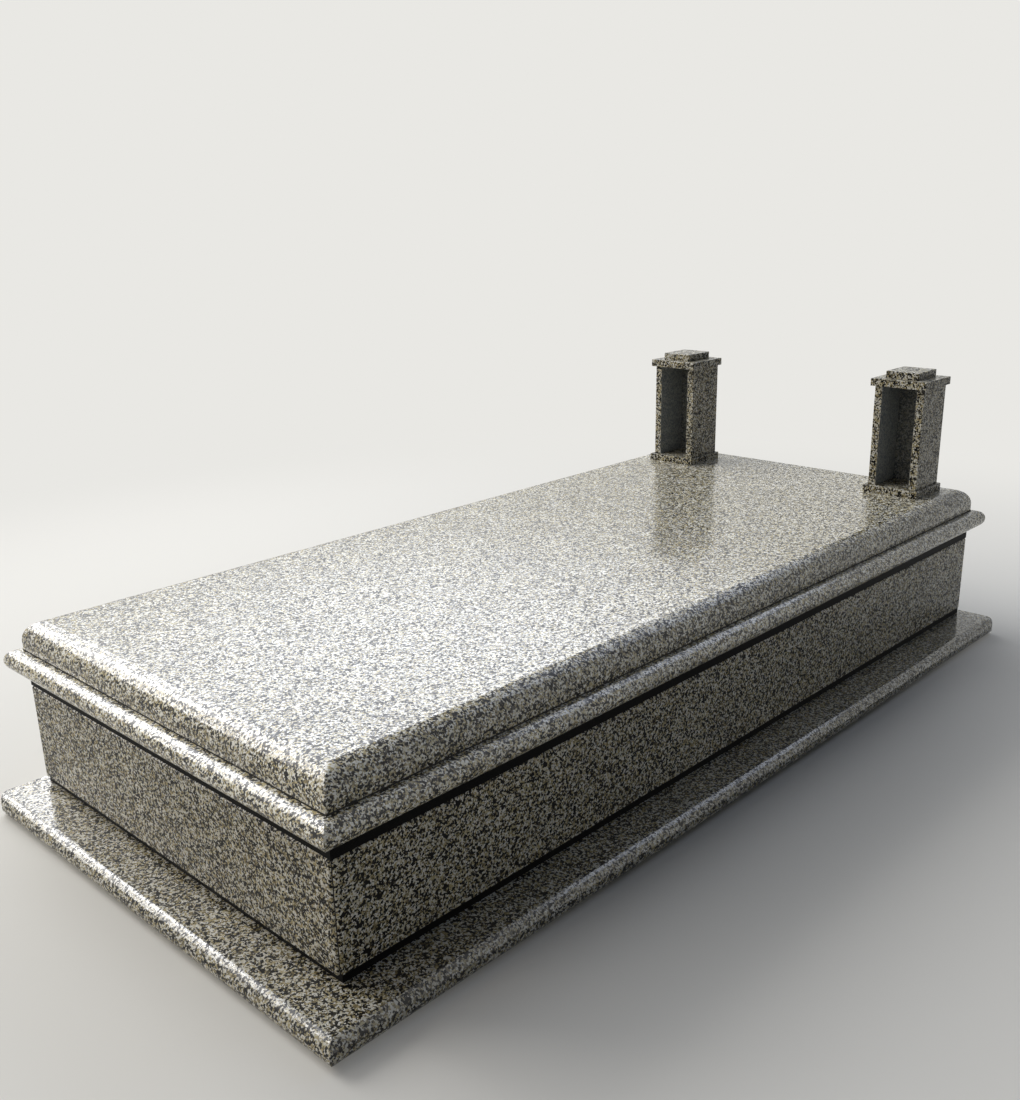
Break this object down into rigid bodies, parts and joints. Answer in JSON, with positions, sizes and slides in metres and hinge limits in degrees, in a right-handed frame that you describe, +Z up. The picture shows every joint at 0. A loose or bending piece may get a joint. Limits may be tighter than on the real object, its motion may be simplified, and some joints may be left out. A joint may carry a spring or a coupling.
{
  "type": "granite grave surround",
  "caption": "Polished grey granite grave surround: low walls on rounded kerbs, a round-nosed moulding under a thick cover slab, and open candle lanterns at its head end.",
  "frame": {"origin": "centre of the bounding box in plan, at the underside of the kerbs", "axes": "+Z up, +Y along the grave from the foot end to the head end where the lanterns stand, +X to the right seen from the foot end"},
  "size_m": [1.465, 3.04, 0.951],
  "materials": {
    "grey_granite": "polished, speckled black and tan",
    "black_granite": "black stone in shadow"
  },
  "bodies": {
    "root": {"front_kerb": "grey_granite", "front_lower_strip": "black_granite", "front_moulding": "grey_granite", "front_upper_strip": "black_granite", "front_wall": "grey_granite", "left_kerb": "grey_granite", "left_lantern_back": "grey_granite", "left_lantern_base": "grey_granite", "left_lantern_cap": "grey_granite", "left_lantern_left_side": "grey_granite", "left_lantern_right_side": "grey_granite", "left_lantern_top_plate": "grey_granite", "left_lower_strip": "black_granite", "left_moulding": "grey_granite", "left_upper_strip": "black_granite", "left_wall": "grey_granite", "rear_kerb": "grey_granite", "rear_lower_strip": "black_granite", "rear_moulding": "grey_granite", "rear_upper_strip": "black_granite", "rear_wall": "grey_granite", "right_kerb": "grey_granite", "right_lantern_back": "grey_granite", "right_lantern_base": "grey_granite", "right_lantern_cap": "grey_granite", "right_lantern_left_side": "grey_granite", "right_lantern_right_side": "grey_granite", "right_lantern_top_plate": "grey_granite", "right_lower_strip": "black_granite", "right_moulding": "grey_granite", "right_upper_strip": "black_granite", "right_wall": "grey_granite", "top_slab": "grey_granite"}
  },
  "joints": []
}
